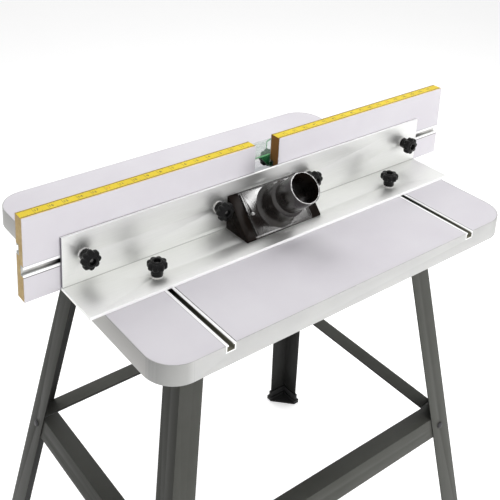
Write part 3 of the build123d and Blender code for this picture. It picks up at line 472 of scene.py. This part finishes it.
FINISH_OF = {  # by words in a node's name; the first that fits is taken
    "edge_band": EDGING,
    "laminate": WHITE,
    "table_core": CORE,
    "board_core": BOARD_CORE,
    "board_track": BOARD_TRACK,
    "mitre_track": MITRE_TRACK,
    "table_track": TABLE_TRACK,
    "fence_bracket": ANGLE,
    "router_plate": PLATE,
    "insert_ring": RING_BLACK,
    "leg_": PAINT,
    "stretcher_": PAINT,
    "top_rail_": PAINT,
    "rubber_feet": RUBBER,
    "stand_bolts": BLACK_STEEL,
    "clamp_bolts": BOLT_STEEL,
    "guard_bolts": BOLT_STEEL,
    "knob": KNOB_BLACK,
    "dust_": HOOD_BLACK,
    "measuring_tape": YELLOW,
    "bit_guard": CLEAR,
}


def finish_for(node):
    """The finish of a CAD node, by the words in its name. Fasteners are zinc plated."""
    for words, material in FINISH_OF.items():
        if words in node:
            return material
    return ZINC


# ---- softened edges of the CAD pieces -----------------------------------------------------
WELD_DISTANCE = 0.005 * MM
FLAT_ANGLE = 0.4  # degrees: flatter edges are dissolved
BEVEL_ANGLE = 35  # degrees: sharper edges are rounded
SMOOTH_ANGLE = 32  # degrees: sharper edges keep split shading
EDGE_RADIUS = {  # millimetres, by words in a node's name
    "fence_bracket": 0.45,
    "dust_hood": 0.9,
    "dust_pipe": 0.5,
    "leg_": 0.9,
    "stretcher_": 0.9,
    "top_rail_": 0.9,
    "rubber_feet": 0.8,
    "edge_band": 0.4,
    "board_core": 0.25,
    "track": 0.2,
    "router_plate": 0.3,
    "insert_ring": 0.25,
    "bit_guard": 0.3,
    "stand_bolts": 0.3,
    "washers": 0.15,
}


def soften(node, piece):
    """Welds a CAD mesh and rounds its sharp edges, with modifiers only."""
    weld = piece.modifiers.new("weld", "WELD")
    weld.merge_threshold = WELD_DISTANCE
    for words, radius in EDGE_RADIUS.items():
        if words in node:
            flat = piece.modifiers.new("flat", "DECIMATE")
            flat.decimate_type = "DISSOLVE"
            flat.angle_limit = math.radians(FLAT_ANGLE)
            bevel = piece.modifiers.new("edge", "BEVEL")
            bevel.width = radius * MM
            bevel.segments = 2
            bevel.limit_method = "ANGLE"
            bevel.angle_limit = math.radians(BEVEL_ANGLE)
            bevel.use_clamp_overlap = True
            bevel.harden_normals = False
            break


def smooth_by_angle(piece):
    """Splits the shading at sharp edges and smooths the rest."""
    split = piece.modifiers.new("shading", "EDGE_SPLIT")
    split.split_angle = math.radians(SMOOTH_ANGLE)
    split.use_edge_sharp = False
    for face in piece.data.polygons:
        face.use_smooth = True


for name, piece in nodes.items():
    piece.data.materials.clear()
    piece.data.materials.append(finish_for(name))
    soften(name, piece)
    smooth_by_angle(piece)


# ---- moulded knobs ------------------------------------------------------------------------
KNOB_LOBES = 8
KNOB_STEPS = 12  # points round each lobe
NOTCH_DEPTH = 3.0  # millimetres
LOBE_SHAPE = 0.62  # below one makes the lobes broad and the notches narrow
# Height and radius in millimetres and the share of the notches, up the outside and down the middle.
KNOB_PROFILE = [
    (0.0, 9.4, 0), (0.5, 10.3, 0), (2.0, 10.5, 0), (9.5, 10.2, 0), (11.4, 10.5, 0), (12.1, 11.6, 0.1),
    (12.3, 13.6, 0.6), (12.9, 15.9, 0.9), (14.2, 17.1, 1), (15.6, 17.5, 1), (21.4, 17.5, 1), (23.0, 17.0, 1),
    (24.1, 15.9, 1), (24.6, 14.2, 0.8), (24.7, 11.6, 0.25), (24.8, 10.1, 0), (25.3, 9.6, 0), (25.8, 9.4, 0),
    (26.0, 8.9, 0), (26.0, 6.9, 0), (25.7, 6.3, 0), (25.0, 6.0, 0), (20.3, 5.9, 0), (20.0, 5.5, 0),
    (20.0, 3.6, 0), (19.6, 3.1, 0), (0.4, 3.1, 0), (0.0, 3.5, 0),
]


def knob_mesh():
    """A lobed knob standing on its hub, with a recess and a through hole."""
    mesh = bmesh.new()
    count = KNOB_LOBES * KNOB_STEPS
    rings = []
    for height, radius, share in KNOB_PROFILE:
        ring = []
        for step in range(count):
            turn = 2 * math.pi * step / count
            lobe = (0.5 + 0.5 * math.cos(KNOB_LOBES * turn)) ** LOBE_SHAPE
            reach = (radius - NOTCH_DEPTH * share * (1 - lobe)) * MM
            ring.append(mesh.verts.new((reach * math.cos(turn), reach * math.sin(turn), height * MM)))
        rings.append(ring)
    for lower, upper in zip(rings, rings[1:] + rings[:1]):
        for a, b in zip(range(count), list(range(1, count)) + [0]):
            mesh.faces.new((lower[a], lower[b], upper[b], upper[a])).smooth = True
    bmesh.ops.recalc_face_normals(mesh, faces=mesh.faces)
    data = bpy.data.meshes.new("knob")
    mesh.to_mesh(data)
    mesh.free()
    data.materials.append(KNOB_BLACK)
    return data


KNOB = knob_mesh()
for turn in [joint for joint in frame["joints"] if "knob" in joint["name"]]:
    body = turn["child"]
    knob = bpy.data.objects.new(body + "_moulding", KNOB)
    bpy.context.scene.collection.objects.link(knob)
    axis = Vector(turn["axis"])
    knob.matrix_world = Matrix.Translation(turn["pos_m"]) @ axis.to_track_quat("Z", "Y").to_matrix().to_4x4()
    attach(knob, body)
    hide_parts(body)


# ---- printed scales -----------------------------------------------------------------------
INK_THICKNESS = 0.05 * MM
TICK_WIDTH = 0.42 * MM
EDGE_LINE = 1.1 * MM
TICK = 1.8 * MM  # the shortest tick
LONGER_TICKS = ((2, 2.5 * MM), (4, 3.4 * MM), (8, 4.6 * MM))  # every so many sixteenths
NUMBER_HEIGHT = 8.5 * MM
NUMBER_SHIFT = 5.2 * MM  # how far a number stands inwards of its line
RED_EVERY = 12


def ink_box(mesh, low, high, shade):
    """Adds a thin printed bar to a mesh; shade is its material's number."""
    corners = bmesh.ops.create_cube(mesh, size=1.0)["verts"]
    size = [b - a for a, b in zip(low, high)]
    middle = [(a + b) / 2 for a, b in zip(low, high)]
    for corner in corners:
        corner.co = Vector([corner.co[i] * size[i] + middle[i] for i in range(3)])
    for face in {face for corner in corners for face in corner.link_faces}:
        face.material_index = shade


def ink_number(mesh, number, place, height, shade):
    """Adds a printed number, centred on a place and read from behind the fence."""
    text = bpy.data.curves.new("number", "FONT")
    text.body = str(number)
    text.size = height
    text.align_x = "CENTER"
    text.align_y = "CENTER"
    text.extrude = INK_THICKNESS / 2
    text.resolution_u = 3
    holder = bpy.data.objects.new("number", text)
    bpy.context.scene.collection.objects.link(holder)
    graph = bpy.context.evaluated_depsgraph_get()
    digits = bpy.data.meshes.new_from_object(holder.evaluated_get(graph))
    digits.transform(Matrix.Translation(place) @ Matrix.Rotation(math.pi, 4, "Z"))
    first = len(mesh.faces)
    mesh.from_mesh(digits)
    mesh.faces.ensure_lookup_table()
    for face in mesh.faces[first:]:
        face.material_index = shade
    bpy.data.objects.remove(holder)
    bpy.data.curves.remove(text)
    bpy.data.meshes.remove(digits)


def scale_print(side, direction):
    """Prints a tape: sixteenths on both edges, an inch line and a number at every inch from the gap."""
    low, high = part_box("measuring_tape_" + side)
    board_low, board_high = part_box("board_core_" + side)
    zero = board_low.x if direction > 0 else board_high.x
    bottom, top = high.z, high.z + INK_THICKNESS
    mesh = bmesh.new()

    def bar(from_x, to_x, from_y, to_y):
        near, far = sorted((from_y, to_y))
        ink_box(mesh, (from_x, near, bottom), (to_x, far, top), 0)

    edges = ((low.y, 1), (high.y, -1))
    for edge, inward in edges:
        bar(low.x, high.x, edge, edge + inward * EDGE_LINE)
    for sixteenth in range(1, int((high.x - low.x) / INCH * 16)):
        x = zero + direction * sixteenth * INCH / 16
        start, end = x - TICK_WIDTH / 2, x + TICK_WIDTH / 2
        if sixteenth % 16 == 0:
            bar(start, end, low.y, high.y)
            number = sixteenth // 16
            place = (x - direction * NUMBER_SHIFT, (low.y + high.y) / 2, bottom + INK_THICKNESS / 2)
            ink_number(mesh, number, Vector(place), NUMBER_HEIGHT, 1 if number % RED_EVERY == 0 else 0)
            continue
        reach = TICK
        for part, longer in LONGER_TICKS:
            if sixteenth % part == 0:
                reach = longer
        for edge, inward in edges:
            bar(start, end, edge, edge + inward * reach)
    data = bpy.data.meshes.new("scale_print_" + side)
    mesh.to_mesh(data)
    mesh.free()
    data.materials.append(BLACK_INK)
    data.materials.append(RED_INK)
    piece = bpy.data.objects.new("scale_print_" + side, data)
    bpy.context.scene.collection.objects.link(piece)
    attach(piece, side + "_board")


for side, sign in SIDES.items():
    scale_print(side, sign)


# ---- studio -------------------------------------------------------------------------------
SKY_LIGHT = (0.62, 0.36)  # what the surround gives to matt surfaces from -X and from +X
SKY_SHEEN = 1.06  # what it gives to reflections
SKY_SEEN = 1.0  # what the camera sees of it
FLOOR_SIZE = 14.0
FLOOR_LIFT = 0.42  # glow that brings the floor up to the surround's white
FLOOR_DROP = 0.5 * MM  # keeps it clear of the feet

# Name, place and aim from the middle of the table's top, size and power, for matt surfaces only.
SOFTBOXES = (
    ("over_front", (0, -1.2, 1.55), (0, -0.25, 0), 1.35, 20.0),
    ("rear_low", (-0.2, 3.0, 0.15), (0, 0, 0), 1.6, 54.0),
    ("top", (-1.1, 0.3, 2.2), (0, 0, 0), 1.6, 18.0),
    ("side", (-3.0, 0.6, 0.75), (0, 0, 0), 1.8, 20.0),
)
# The same for reflections only, and only on the dust hood, its pipe and its screws.
SHEEN = ("sheen", (-1.256, 1.408, 1.88), (0, 0, 0), 1.2, 78.0)
SHEEN_PIECES = ("dust_hood", "dust_pipe", "pipe_screws")


def floor():
    """A pale floor with a faint grain, lifted to white where the camera or a reflection sees it."""
    mesh = bmesh.new()
    bmesh.ops.create_grid(mesh, x_segments=2, y_segments=2, size=FLOOR_SIZE)
    data = bpy.data.meshes.new("floor")
    mesh.to_mesh(data)
    mesh.free()
    finish = Finish("floor", roughness=0.9)
    cloud = finish.noise(3.0, detail=5.0)
    finish.set(base_color=finish.blend(cloud, (0.88, 0.88, 0.88), (0.91, 0.91, 0.91)))
    path = finish.add("LightPath")
    seen = finish.either(path.outputs["Is Camera Ray"], path.outputs["Is Glossy Ray"])
    finish.set(emission_color=(1.0, 1.0, 1.0), emission_strength=finish.times(seen, FLOOR_LIFT))
    data.materials.append(finish.material)
    ground = bpy.data.objects.new("floor", data)
    ground.location.z = -FLOOR_DROP
    bpy.context.scene.collection.objects.link(ground)


def softbox(name, place, aim, size, power, matt=True):
    """A round area light turned towards its aim, for matt surfaces or else for reflections."""
    light = bpy.data.lights.new(name, "AREA")
    light.shape = "DISK"
    light.size = size
    light.energy = power
    middle = Vector((0, 0, TABLE_TOP))
    place, aim = middle + Vector(place), middle + Vector(aim)
    holder = bpy.data.objects.new(name, light)
    holder.location = place
    holder.rotation_euler = (aim - place).to_track_quat("-Z", "Y").to_euler()
    holder.visible_camera = False
    holder.visible_diffuse = matt
    holder.visible_glossy = not matt
    bpy.context.scene.collection.objects.link(holder)
    return holder


def sky():
    """A white surround, set apart for the camera, for reflections and, brighter at -X, for matt surfaces."""
    world = bpy.data.worlds.new("studio")
    world.use_nodes = True
    tree = world.node_tree
    background = tree.nodes["Background"]
    background.inputs["Color"].default_value = (1.0, 1.0, 1.0, 1.0)
    path = tree.nodes.new("ShaderNodeLightPath")
    split = tree.nodes.new("ShaderNodeSeparateXYZ")
    tree.links.new(tree.nodes.new("ShaderNodeTexCoord").outputs["Generated"], split.inputs[0])
    uneven = tree.nodes.new("ShaderNodeMapRange")
    for key, value in (("From Min", -1.0), ("To Min", SKY_LIGHT[0]), ("To Max", SKY_LIGHT[1])):
        uneven.inputs[key].default_value = value
    tree.links.new(split.outputs["X"], uneven.inputs["Value"])
    strength = uneven.outputs[0]
    for kind, most in (("Is Glossy Ray", SKY_SHEEN), ("Is Camera Ray", SKY_SEEN)):
        step = tree.nodes.new("ShaderNodeMapRange")
        step.inputs["To Max"].default_value = most
        tree.links.new(strength, step.inputs["To Min"])
        tree.links.new(path.outputs[kind], step.inputs["Value"])
        strength = step.outputs[0]
    tree.links.new(strength, background.inputs["Strength"])
    bpy.context.scene.world = world


floor()
sky()
for box in SOFTBOXES:
    softbox(*box)
lit = bpy.data.collections.new("sheen_pieces")
for name in SHEEN_PIECES:
    lit.objects.link(nodes[name])
softbox(*SHEEN, matt=False).light_linking.receiver_collection = lit
bpy.context.scene.view_settings.view_transform = "Standard"

# ---- camera -------------------------------------------------------------------------------
CAMERA_PLACE = Vector((0.963, 1.127, TABLE_TOP + 0.8505))
CAMERA_HEADING = -142.856  # degrees from +Y towards +X
CAMERA_PITCH = -18.384
CAMERA_ROLL = 1.944
SENSOR = 36.0  # millimetres, as is the lens
LENS = 63.02
SHIFT = (0.0753, -0.4462)  # shares of the picture's width

camera_data = bpy.data.cameras.new("camera")
camera_data.lens = LENS
camera_data.sensor_width = SENSOR
camera = bpy.data.objects.new("camera", camera_data)
bpy.context.scene.collection.objects.link(camera)
bpy.context.scene.camera = camera
heading, pitch = math.radians(CAMERA_HEADING), math.radians(CAMERA_PITCH)
look = Vector((math.sin(heading) * math.cos(pitch), math.cos(heading) * math.cos(pitch), math.sin(pitch)))
camera.location = CAMERA_PLACE
camera.rotation_mode = "XYZ"
level = look.to_track_quat("-Z", "Y")
camera.rotation_euler = (level @ Quaternion((0, 0, 1), math.radians(CAMERA_ROLL))).to_euler()

# The lens shift belongs to this viewpoint only: a camera turned by quaternion has mode 0 and no shift, while
# this one's mode is 1.
for channel, amount in zip(("shift_x", "shift_y"), SHIFT):
    curve = camera_data.driver_add(channel)
    curve.driver.type = "AVERAGE"
    source = curve.driver.variables.new()
    source.targets[0].id = camera
    source.targets[0].data_path = "rotation_mode"
    curve.modifiers[0].coefficients = (0.0, amount)
